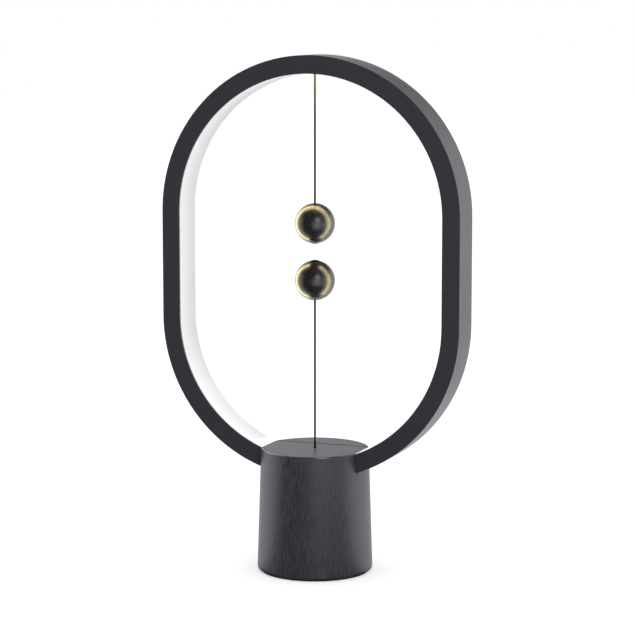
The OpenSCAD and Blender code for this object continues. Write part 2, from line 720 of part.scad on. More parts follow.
module microswitch_body() color("#202024") difference() {
  translate([switch_x, -switch_body[1] / 2, switch_z]) cube(switch_body);
  translate([plunger_x, 0, plunger_z - 0.4]) cylinder(r = plunger_r + run_gap, h = 10, $fn = 48);
  for (x = switch_pin_xs) translate([x, 0, switch_pin_z]) cyl_y(switch_pin_r + press_gap, -10, 10);
}

module switch_pins() color("#b7b9bb") for (x = switch_pin_xs) translate([x, 0, switch_pin_z])
  cyl_y(switch_pin_r, -cheek_y - cheek_t - 0.4, cheek_y + cheek_t + 0.4);

module switch_plunger() color("#c33b32")
  translate([plunger_x, 0, plunger_z]) cylinder(r = plunger_r, h = plunger_top_z - plunger_z, $fn = 48);

module switch_terminals() color("#c9b46a") for (k = [0 : 2])
  translate([switch_x + 1.6 + 4.3 * k, -1.2, switch_z - 3.6]) difference() {
    cube([0.9, 2.4, 3.6]);
    translate([-cut, 1.2, 1.2]) rotate([0, 90, 0]) cylinder(r = 0.5, h = 3, $fn = 24);
  }

// Points of a closed tube that is swept along a helix; rings of tube_sides points
tube_sides = 6;
spring_n = spring_turns * spring_steps;
spring_z0 = lever_z + lever_t / 2 + spring_wire_r + 0.1;
spring_z1 = carrier_z - spring_wire_r - 0.1;
function helix_point(i) = let(t = 360 * i / spring_steps)
  [spring_x + spring_r * cos(t), spring_r * sin(t), spring_z0 + (spring_z1 - spring_z0) * i / spring_n];
function helix_ring(i) = let(t = 360 * i / spring_steps, c = helix_point(i))
  [for (k = [0 : tube_sides - 1]) let(u = 360 * k / tube_sides)
    c + spring_wire_r * [cos(u) * cos(t), cos(u) * sin(t), sin(u)]];

module return_spring() color("#9aa0a4") polyhedron(
  points = [for (i = [0 : spring_n]) each helix_ring(i)],
  faces = concat([[for (k = [0 : tube_sides - 1]) k]],
    [for (i = [0 : spring_n - 1], k = [0 : tube_sides - 1]) let(m = (k + 1) % tube_sides)
      [i * tube_sides + k, (i + 1) * tube_sides + k, (i + 1) * tube_sides + m, i * tube_sides + m]],
    [[for (k = [tube_sides - 1 : -1 : 0]) spring_n * tube_sides + k]]));

module switch_leads() color("#2d2d31") {
  c = connector_pos[1];
  top = board_top_z + connector_size[2];
  for (s = [-1, 1]) {
    x = switch_x + 6.35 + s * 4.3;
    wire([[c[0] + s * pin_pitch / 2, c[1], top + 0.05], [c[0] + s * pin_pitch / 2, c[1], top + 6],
      [x, s + 1, switch_z - 8], [x, 0, switch_z - 3.6 - lead_r]], lead_r);
  }
}

// ---------- fasteners ----------

module floor_screws() color("#9aa0a4") for (a = concat(front_boss_angles, rear_boss_angles))
  translate(boss_xy(a) + [0, 0, floor_z + 0.05]) screw(screw_r, 9, head_r, head_t);

module ballast_screws() color("#9aa0a4") for (a = ballast_screw_angles)
  translate(ring_xy(ballast_screw_pos_r, a) + [0, 0, ballast_z + ballast_t - 0.5]) mirror([0, 0, 1])
    screw(screw_r, ballast_t - head_t + 1.6, head_r, head_t);

module board_screws() color("#9aa0a4") for (a = post_angles)
  translate(ring_xy(post_pos_r, a) + [0, 0, board_top_z + head_t + 0.05]) mirror([0, 0, 1])
    screw(small_screw_r, 8, small_head_r, head_t);

module carrier_screws() color("#9aa0a4") for (x = carrier_screw_xs)
  translate([x, 0, carrier_z - head_t - 0.05]) screw(screw_r, carrier_t + 4.5, head_r, head_t);

module hoop_screws() color("#9aa0a4") for (a = [-hoop_screw_angle, hoop_screw_angle])
  on_lower_arc(a, r_out + seat_gap + cradle_t + 0.6 + head_t, hoop_screw_y)
    screw(small_screw_r, cradle_t + hoop_wall + 4, small_head_r, head_t);

hoop_shell();
hoop_rear_cover();
hoop_diffuser();
led_strip();
led_chips();
led_leads();
upper_cord_anchor();
upper_cord_bush();
upper_cord_knot();
upper_cord_bend();
upper_cord();
upper_ball();
upper_magnet();
upper_ball_cap();
upper_cord_crimp();
lower_ball();
lower_magnet();
lower_ball_cap();
lower_cord_crimp();
lower_cord_end();
lower_cord_mid();
lower_cord_tail();
cord_ferrule();
base_cord_bush();
base_shell();
base_rear_cover();
base_floor();
foot_pad();
ballast_weight();
driver_board();
board_capacitor();
board_inductor();
board_chips();
lead_connectors();
usb_socket();
switch_carrier();
switch_lever();
lever_pin();
microswitch_body();
switch_pins();
switch_plunger();
switch_terminals();
return_spring();
switch_leads();
floor_screws();
ballast_screws();
board_screws();
carrier_screws();
hoop_screws();
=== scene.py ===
"""Looks of a magnetic balance lamp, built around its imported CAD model.

The CAD nodes keep their places and get procedural finishes. The two balls and the cords' free lengths
are new surfaces that stand for their CAD nodes. All sizes are in metres, in the row frame: the lamp
stands on z = 0, its back is towards +Y and its right side, seen from the front, is +X.
"""

import logging
import math
from dataclasses import dataclass, replace
from enum import Enum
from typing import Callable, Sequence

import bpy
import numpy as np
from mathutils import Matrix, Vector


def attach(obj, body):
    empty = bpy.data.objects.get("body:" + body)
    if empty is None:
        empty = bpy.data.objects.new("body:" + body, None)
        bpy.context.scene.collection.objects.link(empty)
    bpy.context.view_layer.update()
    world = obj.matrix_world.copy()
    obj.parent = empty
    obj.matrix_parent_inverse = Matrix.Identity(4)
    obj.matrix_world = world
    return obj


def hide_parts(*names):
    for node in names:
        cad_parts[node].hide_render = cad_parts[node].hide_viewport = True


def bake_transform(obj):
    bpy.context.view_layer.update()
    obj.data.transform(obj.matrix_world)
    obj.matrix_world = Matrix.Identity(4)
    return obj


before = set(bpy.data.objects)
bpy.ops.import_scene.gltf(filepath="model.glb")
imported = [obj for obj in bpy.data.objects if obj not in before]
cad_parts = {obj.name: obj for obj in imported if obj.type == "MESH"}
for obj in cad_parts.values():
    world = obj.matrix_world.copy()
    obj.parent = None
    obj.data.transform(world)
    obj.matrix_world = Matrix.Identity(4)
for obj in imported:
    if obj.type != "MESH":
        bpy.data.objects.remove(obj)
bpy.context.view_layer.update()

LOG = logging.getLogger("balance_lamp")
MM = 0.001
NOISE_SPAN = (0.3, 0.7)

Colour = tuple[float, float, float]
Socket = bpy.types.NodeSocket
Value = float | Socket
Faces = list[tuple[int, ...]]
Pair = tuple[float, float]
Triple = tuple[float, float, float]


# ---------- shader trees ----------


class Tree:
    """A shader node tree, written as calls that make a node and feed its sockets."""

    def __init__(self, tree: bpy.types.NodeTree) -> None:
        """Takes over a node tree and empties it.

        Args:
            tree: The node tree of a material or of the world.
        """
        self.tree = tree
        tree.nodes.clear()

    def add(
        self, kind: str, inputs: dict[str | int, object] | None = None, **settings: object
    ) -> bpy.types.Node:
        """Adds a node.

        Args:
            kind: Blender's name for the node type, without its leading ShaderNode.
            inputs: Values or output sockets, by the name or number of the input that takes them.
            **settings: Properties of the node itself.

        Returns:
            The new node.
        """
        made = self.tree.nodes.new("ShaderNode" + kind)
        for key, value in settings.items():
            setattr(made, key, value)
        for key, value in (inputs or {}).items():
            if isinstance(value, Socket):
                self.tree.links.new(value, made.inputs[key])
            else:
                made.inputs[key].default_value = value
        return made

    def maths(self, operation: str, first: Value, second: Value = 0.0) -> Socket:
        """Works out one sum on two numbers.

        Args:
            operation: Blender's name for the sum.
            first: The first number.
            second: The second number, where the sum takes two.

        Returns:
            The output socket.
        """
        return self.add("Math", {0: first, 1: second}, operation=operation).outputs[0]

    def seen(self) -> Socket:
        """Is 1 for a ray that looks, mirrors or passes through, and 0 for one that gathers light.

        Returns:
            The output socket.
        """
        rays = self.add("LightPath").outputs
        mirrored = self.maths("MAXIMUM", rays["Is Glossy Ray"], rays["Is Transmission Ray"])
        return self.maths("MAXIMUM", rays["Is Camera Ray"], mirrored)

    def place(self, stretch: Sequence[float]) -> Socket:
        """Gives the piece's own coordinates, times a stretch along each axis.

        Args:
            stretch: What X, Y and Z are multiplied by, in features per metre.

        Returns:
            The vector output.
        """
        own = self.add("TexCoord").outputs["Object"]
        return self.add("Mapping", {"Vector": own, "Scale": tuple(stretch)}).outputs[0]

    def axis(self, output: str, number: int) -> Socket:
        """Gives one number of a vector that the Texture Coordinate node gives, such as its Z.

        Args:
            output: The node's output: Object, Normal or UV.
            number: Which number, counted from 0.

        Returns:
            The output socket.
        """
        return self.add("SeparateXYZ", {0: self.add("TexCoord").outputs[output]}).outputs[number]

    def noise(self, vector: Socket, detail: float = 3.0, rough: float = 0.55) -> Socket:
        """Gives a soft random pattern from 0 to 1, with one feature per unit of the vector.

        Args:
            vector: Where it is read.
            detail: How many finer layers are added.
            rough: How strong the finer layers are.

        Returns:
            The pattern's output.
        """
        made = self.add("TexNoise", {"Vector": vector, "Scale": 1.0, "Detail": detail, "Roughness": rough})
        return made.outputs["Fac"]

    def ramp(self, value: Value, low: float, high: float, to_low: float, to_high: float) -> Socket:
        """Carries low..high smoothly to to_low..to_high, and holds it at the ends.

        Args:
            value: What is carried.
            low: The value that becomes to_low.
            high: The value that becomes to_high.
            to_low: What is given up to low.
            to_high: What is given from high on.

        Returns:
            The output socket.
        """
        inputs = {"Value": value, "From Min": low, "From Max": high, "To Min": to_low, "To Max": to_high}
        return self.add("MapRange", inputs, interpolation_type="SMOOTHSTEP").outputs[0]

    def tint(self, colour: Colour, factor: Value) -> Socket:
        """Gives a colour times a factor that changes over the surface.

        Args:
            colour: The colour.
            factor: What it is multiplied by.

        Returns:
            The output socket.
        """
        scaled = self.add("VectorMath", {0: colour, 3: factor}, operation="SCALE")
        return scaled.outputs[0]

    def blend(self, factor: Value, first: Colour | Socket, second: Colour | Socket) -> Socket:
        """Mixes two colours.

        Args:
            factor: The share of the second, from 0 to 1.
            first: The colour at 0.
            second: The colour at 1.

        Returns:
            The output socket.
        """
        made = self.add("Mix", data_type="RGBA")
        for slot, value in ((0, factor), (6, first), (7, second)):
            if isinstance(value, Socket):
                self.tree.links.new(value, made.inputs[slot])
            else:
                made.inputs[slot].default_value = value if slot == 0 else (*value, 1.0)
        return made.outputs[2]

    def mix(self, factor: Value, first: Value, second: Value) -> Socket:
        """Mixes two numbers.

        Args:
            factor: The share of the second, from 0 to 1.
            first: The number at 0.
            second: The number at 1.

        Returns:
            The output socket.
        """
        return self.add("Mix", {0: factor, 2: first, 3: second}, data_type="FLOAT").outputs[0]

    def bump(self, height: Value, depth: Value) -> Socket:
        """Turns a height into a surface normal.

        Args:
            height: The height, from 0 to 1.
            depth: The relief's depth in metres.

        Returns:
            The normal's output.
        """
        return self.add("Bump", {"Strength": 1.0, "Distance": depth, "Height": height}).outputs[0]


# ---------- finishes ----------


class Grain(Enum):
    """Which way a finish's fine marks run."""

    EVEN = (1.0, 1.0, 1.0)
    UPRIGHT = (1.0, 1.0, 0.035)


@dataclass(frozen=True)
class Finish:
    """A plain finish: one colour with fine marks in its tone, its gloss and its relief.

    Marks and cloud are features per metre, tone and gloss are shares, and relief is a depth in metres.
    """

    name: str
    colour: Colour
    roughness: float = 0.5
    metallic: float = 0.0
    ior: float = 1.5
    grain: Grain = Grain.EVEN
    marks: float = 900.0
    cloud: float = 28.0
    tone: float = 0.10
    gloss: float = 0.06
    relief: float = 0.000006
    gleam: Colour = (1.0, 1.0, 1.0)

    def material(self) -> bpy.types.Material:
        """Makes the material once, and gives the same one each time after that.

        Returns:
            The material.
        """
        known = bpy.data.materials.get("finish_" + self.name)
        if known is not None:
            return known
        made = bpy.data.materials.new("finish_" + self.name)
        made.use_nodes = True
        made.diffuse_color = (*self.colour, 1.0)
        tree = Tree(made.node_tree)
        shader = self.surface(tree)
        tree.add("OutputMaterial", {"Surface": shader})
        return made

    def principled(self, tree: Tree, inputs: dict[str, object]) -> Socket:
        """Makes the shader from the finish's own values and the inputs that change over the surface.

        Args:
            tree: The material's tree.
            inputs: Values or output sockets, by the name of the shader's input.

        Returns:
            The shader's output.
        """
        own = {
            "Roughness": self.roughness, "Metallic": self.metallic, "IOR": self.ior,
            "Specular Tint": (*self.gleam, 1.0),
        }
        return tree.add("BsdfPrincipled", own | inputs).outputs[0]

    def toned(self, tree: Tree, marks: Socket, span: Pair = NOISE_SPAN) -> Socket:
        """Gives the factor for the colour: 1 less the tone in the marks' lows, 1 plus it in their highs.

        Args:
            tree: The material's tree.
            marks: The marks, from 0 to 1.
            span: Where the marks count as low and as high.

        Returns:
            The factor's output.
        """
        return tree.ramp(marks, *span, 1.0 - self.tone, 1.0 + self.tone)

    def glossed(self, tree: Tree, marks: Socket, sign: float = 1.0) -> Socket:
        """Gives the roughness: less by the gloss in the marks' lows and more by it in their highs.

        Args:
            tree: The material's tree.
            marks: The marks, from 0 to 1.
            sign: -1 to turn lows and highs round.

        Returns:
            The roughness's output.
        """
        change = sign * self.gloss
        return tree.ramp(marks, *NOISE_SPAN, self.roughness - change, self.roughness + change)

    def surface(self, tree: Tree) -> Socket:
        """Builds the shader: the marks lighten the colour, change the gloss and raise the surface.

        Args:
            tree: The material's tree.

        Returns:
            The shader's output.
        """
        marks = tree.noise(tree.place([self.marks * share for share in self.grain.value]))
        cloud = tree.noise(tree.place((self.cloud,) * 3), detail=2.0)
        both = tree.maths("ADD", tree.maths("MULTIPLY", marks, 0.7), tree.maths("MULTIPLY", cloud, 0.3))
        return self.principled(tree, {
            "Base Color": tree.tint(self.colour, self.toned(tree, both)),
            "Roughness": self.glossed(tree, both, -1.0),
            "Normal": tree.bump(marks, self.relief),
        })


@dataclass(frozen=True)
class GrainedFoil(Finish):
    """Charcoal foil with a fine upright grain, plain where it faces up, burnished along its rounded edges.

    Hairline and speck are features per metre, and streak is how far the hairlines are drawn out. Seam is
    the Y of the joint between the two shells, and seam_w is how far from it the painted shade reaches: a
    thin line darkened and dulled to stand for the shade in the gap. The spans with level, edge and top in
    their names are of the normal's Z.
    """

    hairline: float = 2600.0
    streak: float = 0.03
    speck: float = 1100.0
    tone_span: Pair = (0.32, 0.68)
    level_span: Pair = (0.5, 0.9)
    edge_start: Pair = (0.12, 0.4)
    edge_end: Pair = (0.75, 0.97)
    top_span: Pair = (0.9, 0.97)
    burnish: float = 0.16
    edge_ior: float = 4.0
    seam: float = 0.0159
    seam_w: float = 0.0015
    # Painted shade along the seam: how much darker and how much rougher the line by the joint is
    seam_shade_tone: float = 0.3
    seam_shade_rough: float = 0.5
    top_relief: float = 4.0

    def surface(self, tree: Tree) -> Socket:
        """Builds the grain from a noise that is drawn out along Z, and makes it even specks on level faces.

        The normal's Z tells the faces apart: near 0 on the sides, near 1 on top, and in between on the
        rounded edge, which is smoother than the rest. A thin line along the seam is darkened and dulled as
        painted shade for the gap between the shells.

        Args:
            tree: The material's tree.

        Returns:
            The shader's output.
        """
        upright, depth = tree.axis("Normal", 2), tree.axis("Object", 1)
        stretch = (self.hairline, self.hairline, self.hairline * self.streak)
        fine = tree.noise(tree.place(stretch), detail=1.0, rough=0.5)
        specks = tree.noise(tree.place((self.speck,) * 3), detail=1.0)
        shown = tree.mix(tree.ramp(upright, *self.level_span, 0.0, 1.0), fine, specks)
        from_side = tree.ramp(upright, *self.edge_start, 0.0, 1.0)
        edge = tree.maths("MULTIPLY", from_side, tree.ramp(upright, *self.edge_end, 1.0, 0.0))
        # Painted shade: a thin line along the seam between the shells is darkened and made rougher, standing
        # for the shade in the gap
        away = tree.maths("ABSOLUTE", tree.maths("SUBTRACT", depth, self.seam))
        seam_shade = tree.ramp(away, self.seam_w * 0.3, self.seam_w, 1.0, 0.0)
        tone = self.toned(tree, shown, self.tone_span)
        shade = tree.maths("MULTIPLY", tone, tree.ramp(seam_shade, 0.0, 1.0, 1.0, self.seam_shade_tone))
        seam_rough_add = tree.maths("MULTIPLY", seam_shade, self.seam_shade_rough)
        relief = tree.ramp(upright, *self.top_span, self.relief, self.relief * self.top_relief)
        return self.principled(tree, {
            "Base Color": tree.tint(self.colour, shade),
            "Roughness": tree.maths("ADD", tree.mix(edge, self.glossed(tree, shown), self.burnish), seam_rough_add),
            "IOR": tree.ramp(edge, 0.0, 1.0, self.ior, self.edge_ior),
            "Normal": tree.bump(shown, relief),
        })


@dataclass(frozen=True)
class LitOpal(Finish):
    """Opal plastic that glows softly, brightest along its front edge and at its low ends."""

    cloud: float = 60.0
    front_glow: Colour = (0.2, 0.2, 0.2)
    rear_glow: Colour = (0.03, 0.03, 0.03)
    low_front: Colour = (0.33, 0.33, 0.33)
    low_rear: Colour = (0.15, 0.15, 0.15)
    end_glow: Colour = (1.4, 1.4, 1.4)
    depth_y: Pair = (-0.0155, 0.0155)
    lift_z: Pair = (0.125, 0.18)
    end_z: Pair = (0.09, 0.101)

    def surface(self, tree: Tree) -> Socket:
        """Builds the glow, which falls off from the front edge to the rear edge and grows at the low ends.

        Args:
            tree: The material's tree.

        Returns:
            The shader's output.
        """
        depth, height = tree.axis("Object", 1), tree.axis("Object", 2)
        rearward = tree.ramp(depth, *self.depth_y, 0.0, 1.0)
        cloud = tree.noise(tree.place((self.cloud,) * 3), detail=2.0)
        plain = tree.blend(rearward, self.front_glow, self.rear_glow)
        lifted = tree.blend(rearward, self.low_front, self.low_rear)
        glow = tree.blend(tree.ramp(height, *self.lift_z, 1.0, 0.0), plain, lifted)
        glow = tree.blend(tree.ramp(height, *self.end_z, 1.0, 0.0), glow, self.end_glow)
        return self.principled(tree, {
            "Base Color": tree.tint(self.colour, tree.ramp(cloud, *NOISE_SPAN, 0.97, 1.0)),
            "Emission Color": glow,
            "Emission Strength": 1.0,
        })


@dataclass(frozen=True)
class BrushedLacquer(Finish):
    """Dark gloss lacquer over a ball that was brushed from pole to pole."""

    hair: Triple = (2400.0, 2400.0, 70.0)
    sweep: Triple = (620.0, 620.0, 30.0)

    def surface(self, tree: Tree) -> Socket:
        """Builds the brush marks from noises drawn out along Z, and lets them break up the reflections.

        Args:
            tree: The material's tree.

        Returns:
            The shader's output.
        """
        hair = tree.noise(tree.place(self.hair), detail=2.0)
        sweep = tree.noise(tree.place(self.sweep), detail=2.0)
        marks = tree.maths("ADD", tree.maths("MULTIPLY", hair, 0.6), tree.maths("MULTIPLY", sweep, 0.4))
        return self.principled(tree, {
            "Base Color": tree.tint(self.colour, self.toned(tree, marks)),
            "Roughness": self.glossed(tree, marks),
            "Normal": tree.bump(marks, self.relief),
        })


@dataclass(frozen=True)
class TwistedYarn(Finish):
    """Cord yarn: fine fibres that run round with the twist, and painted warm light over its first length."""

    fibres: Triple = (22.0, 1.1, 1.0)
    level: float = 0.2
    # Painted light: the colour, length and share of the strip light's warm spill painted on the cord's start
    warm: Colour | None = None
    painted_spill_l: float = 34.0
    painted_spill_share: float = 1.6

    def surface(self, tree: Tree) -> Socket:
        """Builds the fibres from the cord's own map, whose V runs along the cord in millimetres.

        Args:
            tree: The material's tree.

        Returns:
            The shader's output.
        """
        own = tree.add("TexCoord").outputs["UV"]
        across = tree.add("Mapping", {"Vector": own, "Scale": self.fibres}).outputs[0]
        fibre = tree.noise(across, rough=0.65)
        shade = tree.tint(self.colour, self.toned(tree, fibre))
        # Painted light: the strip light's warm spill is painted into the colour over the first length
        if self.warm is not None:
            start = tree.ramp(tree.axis("UV", 1), -self.painted_spill_l, self.painted_spill_l, self.painted_spill_share, 0.0)
            shade = tree.blend(start, shade, self.warm)
        return self.principled(tree, {
            "Base Color": shade,
            "Specular IOR Level": self.level,
            "Normal": tree.bump(fibre, self.relief),
        })


@dataclass(frozen=True)
class CircuitLacquer(Finish):
    """Green lacquer of a circuit board, with faint straight traces under it."""

    pitch: float = 1900.0
    gaps: Triple = (90.0, 160.0, 90.0)
    copper: Colour = (0.0285, 0.19, 0.076)

    def surface(self, tree: Tree) -> Socket:
        """Builds the traces: bands where |sin(pitch x)| is high, broken up by a noise.

        Args:
            tree: The material's tree.

        Returns:
            The shader's output.
        """
        turns = tree.maths("MULTIPLY", tree.axis("Object", 0), self.pitch)
        comb = tree.maths("ABSOLUTE", tree.maths("SINE", turns))
        broken = tree.ramp(tree.noise(tree.place(self.gaps), detail=0.0), 0.48, 0.52, 0.0, 1.0)
        trace = tree.maths("MULTIPLY", tree.ramp(comb, 0.8, 0.9, 0.0, 1.0), broken)
        return self.principled(tree, {
            "Base Color": tree.blend(trace, self.colour, self.copper),
            "Normal": tree.bump(trace, self.relief),
        })


@dataclass(frozen=True)
class Phosphor(Finish):
    """Yellow phosphor of the light chips, glowing in the middle of a pale frame."""

    light: Colour = (1.0, 0.86, 0.42)
    strength: float = 4.0
    rim: Colour = (0.8, 0.79, 0.76)
    rim_y: Pair = (0.0009, 0.0011)

    def surface(self, tree: Tree) -> Socket:
        """Builds the glow from the distance to the chips' middle plane, Y = 0.

        Args:
            tree: The material's tree.

        Returns:
            The shader's output.
        """
        rim = tree.ramp(tree.maths("ABSOLUTE", tree.axis("Object", 1)), *self.rim_y, 0.0, 1.0)
        return self.principled(tree, {
            "Base Color": tree.blend(rim, self.colour, self.rim),
            "Emission Color": tree.blend(rim, self.light, (0.0, 0.0, 0.0)),
            "Emission Strength": self.strength,
        })


HOOP_FOIL = Finish(
    "hoop_charcoal", (0.033, 0.032, 0.04), roughness=0.34, ior=1.72, marks=1500.0, tone=0.07, gloss=0.03,
    gleam=(0.87, 0.86, 1.0),
)
BASE_FOIL = GrainedFoil(
    "base_charcoal", (0.034, 0.033, 0.04), roughness=0.42, ior=2.0, tone=0.46, gloss=0.08, relief=0.000033,
    gleam=(0.88, 0.87, 1.0),
)
OPAL = LitOpal("opal", (0.84, 0.84, 0.84), roughness=0.5, ior=1.4)
LACQUER = BrushedLacquer(
    "ball_lacquer", (0.012, 0.012, 0.013), roughness=0.29, ior=1.96, tone=0.2, gloss=0.08, relief=0.000007
)
CAP_BLACK = Finish("ball_cap", (0.008, 0.008, 0.009), roughness=0.22, tone=0.1, gloss=0.04, relief=0.000002)
NICKEL = Finish(
    "magnet", (0.62, 0.6, 0.57), roughness=0.18, metallic=1.0, tone=0.05, gloss=0.05, relief=0.000002
)
YARN = TwistedYarn("cord", (0.0022, 0.0021, 0.002), roughness=0.8, ior=1.25, tone=0.45, relief=0.00003)
# Painted light: the upper cord's start is tinted warm for the strip light's spill on it
SPILL_PAINTED_YARN = replace(YARN, name="cord_painted_spill", warm=(0.3, 0.24, 0.06))
DARK_BRASS = Finish(
    "crimp_dark", (0.06, 0.05, 0.032), roughness=0.4, metallic=1.0, grain=Grain.UPRIGHT, marks=1600.0
)
BRASS = replace(DARK_BRASS, name="ferrule_brass", colour=(0.6, 0.46, 0.2), roughness=0.3)
BLACK_MOULDING = Finish("black_moulding", (0.012, 0.012, 0.013), roughness=0.5, marks=1800.0, tone=0.15)
RUBBER = Finish("foot_rubber", (0.012, 0.012, 0.013), roughness=0.8, marks=2200.0, tone=0.2, relief=0.00002)
PALE_MOULDING = Finish("pale_moulding", (0.68, 0.66, 0.6), roughness=0.42, marks=900.0, tone=0.04)
STRIP = Finish("strip", (0.82, 0.77, 0.63), roughness=0.5, marks=500.0, tone=0.06)
CHIPS = Phosphor("light_chips", (0.9, 0.68, 0.16), roughness=0.4)
RED_WIRE = Finish("lead_red", (0.45, 0.03, 0.025), roughness=0.4, marks=600.0, tone=0.06)
BLACK_WIRE = Finish("lead_black", (0.02, 0.02, 0.022), roughness=0.42, marks=600.0, tone=0.1)
BALLAST = Finish(
    "ballast_steel", (0.3, 0.3, 0.31), roughness=0.45, metallic=1.0, marks=350.0, tone=0.18, gloss=0.1
)
BOARD = CircuitLacquer("board", (0.015, 0.1, 0.04), roughness=0.3, relief=0.00002)
DARK_PART = Finish("component_dark", (0.03, 0.03, 0.034), roughness=0.45, marks=1500.0, tone=0.12)
PLATED = Finish(
    "plated_steel", (0.6, 0.6, 0.6), roughness=0.25, metallic=1.0, marks=1200.0, tone=0.07, gloss=0.07
)
TERMINAL = Finish("terminal_brass", (0.68, 0.52, 0.24), roughness=0.28, metallic=1.0, marks=1200.0, tone=0.06)


def dress(finish: Finish, *nodes: str) -> None:
    """Gives CAD nodes their finish.

    Args:
        finish: The finish.
        *nodes: The CAD nodes' names.
    """
    for name in nodes:
        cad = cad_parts[name]
        for slot in cad.material_slots:
            slot.material = finish.material()
        if not cad.material_slots:
            cad.data.materials.append(finish.material())
        LOG.info("%s dressed in %s", name, finish.name)


# ---------- surfaces ----------


def into_mesh(name: str, points: np.ndarray, faces: Faces, uv: np.ndarray | None = None) -> bpy.types.Object:
    """Puts points and faces into a new smooth mesh object whose faces point outwards.

    A closed surface's volume is the sum over its faces of a corner dotted with the face's area vector, so
    faces that give a negative volume are turned round.

    Args:
        name: The piece's name.
        points: Its points, one row each.
        faces: The point numbers of each face.
        uv: The map's two numbers at each point, if the piece has a map.

    Returns:
        The object, at the origin.
    """
    fans = np.array([(f[0], f[k], f[k + 1]) for f in faces for k in range(1, len(f) - 1)])
    a, b, c = (points[fans[:, k]] for k in range(3))
    if float(np.einsum("ij,ij->i", a, np.cross(b, c)).sum()) < 0:
        faces = [tuple(reversed(f)) for f in faces]
    mesh = bpy.data.meshes.new(name)
    mesh.from_pydata(points.tolist(), [], faces)
    mesh.polygons.foreach_set("use_smooth", [True] * len(mesh.polygons))
    if uv is not None:
        corner = np.zeros(len(mesh.loops), np.int32)
        mesh.loops.foreach_get("vertex_index", corner)
        mesh.uv_layers.new(name="along").data.foreach_set("uv", uv[corner].astype(np.float32).ravel())
    mesh.update()
    made = bpy.data.objects.new(name, mesh)
    bpy.context.scene.collection.objects.link(made)
    return made


def ring_stack(rings: np.ndarray, first: np.ndarray, last: np.ndarray) -> tuple[np.ndarray, Faces]:
    """Closes a stack of rings into one skin with a point at each end.

    Point (i, j) of the grid joins (i, j + 1), which wraps round the ring, and (i + 1, j) on the next ring.

    Args:
        rings: The grid of points, rings by points round by three.
        first: The point that closes the first ring.
        last: The point that closes the last ring.

    Returns:
        The points, and the faces as point numbers.
    """
    count, around = rings.shape[:2]
    number = np.arange(count * around).reshape(count, around)
    after = np.roll(number, -1, axis=1)
    quads = np.stack([number[:-1], after[:-1], after[1:], number[1:]], axis=-1).reshape(-1, 4)
    start, end = count * around, count * around + 1
    caps_a = np.stack([after[0], number[0], np.full(around, start)], axis=-1)
    caps_b = np.stack([number[-1], after[-1], np.full(around, end)], axis=-1)
    faces = [tuple(f) for part in (quads, caps_a, caps_b) for f in part.tolist()]
    return np.vstack([rings.reshape(-1, 3), first, last]), faces


def lathe(profile: np.ndarray, centre: Sequence[float], around: int = 192) -> tuple[np.ndarray, Faces]:
    """Gives the skin that a profile sweeps about an upright axis.

    A profile point (r, h) becomes (r cos t, r sin t, h) at each angle t, and the profile's two ends lie on
    the axis.

    Args:
        profile: Radius and height of each point, from end to end.
        centre: The axis's place, and the height that the profile's heights start from.
        around: How many steps go round.

    Returns:
        The points, and the faces as point numbers.
    """
    angle = np.linspace(0.0, 2.0 * np.pi, around, endpoint=False)
    r, h = profile[1:-1, :1], profile[1:-1, 1:]
    rings = np.stack([r * np.cos(angle), r * np.sin(angle), h + 0.0 * angle], axis=-1) + np.array(centre)
    ends = [np.array([0.0, 0.0, profile[k, 1]]) + np.array(centre) for k in (0, -1)]
    return ring_stack(rings, *ends)


def arc(centre: Sequence[float], radius: float, start: float, end: float, steps: int) -> np.ndarray:
    """Gives the points of a circular arc in the plane of a profile.

    Args:
        centre: Its centre.
        radius: Its radius.
        start: The angle it starts at, in degrees from the first axis.
        end: The angle it ends at.
        steps: How many steps it has.

    Returns:
        The points, one row each.
    """
    t = np.radians(np.linspace(start, end, steps + 1))
    return np.array(centre) + radius * np.stack([np.cos(t), np.sin(t)], axis=1)


def twisted_cord(
    name: str, path: np.ndarray, radius: float, pitch: float = 6.0 * MM, dip: float = 0.13,
    round_l: float = 0.35 * MM, around: int = 24,
) -> bpy.types.Object:
    """Makes a cord of three strands, twisted about an upright path.

    At angle t and height z, with the twist w = 2 pi z / pitch, the radius is
    r (1 - dip (1 - |cos(1.5 (t - w))|)), which has its three grooves a third of a turn apart. Over
    round_l at each end it shrinks to the centre on a quarter circle.

    Args:
        name: The piece's name.
        path: The points of its centre line, from end to end, going straight up or down.
        radius: The cord's radius over its strands.
        pitch: The length in which a strand goes round once.
        dip: How deep the grooves are, as a share of the radius.
        round_l: The length over which each end is rounded.
        around: How many points go round.

    Returns:
        The cord, with a map whose V is the length along it in millimetres.
    """
    t = np.linspace(0.0, 2.0 * np.pi, around, endpoint=False)
    z = path[:, 2]
    along = np.concatenate([[0.0], np.cumsum(np.linalg.norm(np.diff(path, axis=0), axis=1))])
    from_end = np.minimum(along, along[-1] - along)
    close = np.sqrt(np.clip(1.0 - (1.0 - np.clip(from_end / round_l, 0.0, 1.0)) ** 2, 0.0, 1.0))
    twist = 2.0 * np.pi * z / pitch
    groove = 1.0 - dip * (1.0 - np.abs(np.cos(1.5 * (t[None, :] - twist[:, None]))))
    r = radius * close[:, None] * groove
    rings = path[:, None, :] + np.stack([r * np.cos(t), r * np.sin(t), 0.0 * r], axis=-1)
    points, faces = ring_stack(rings[1:-1], path[0], path[-1])
    uv = np.stack(np.broadcast_arrays(t[None, :] / (2.0 * np.pi), along[1:-1, None] / MM), axis=-1)
    uv = np.vstack([uv.reshape(-1, 2), [0.5, 0.0], [0.5, along[-1] / MM]])
    return into_mesh(name, points, faces, uv)


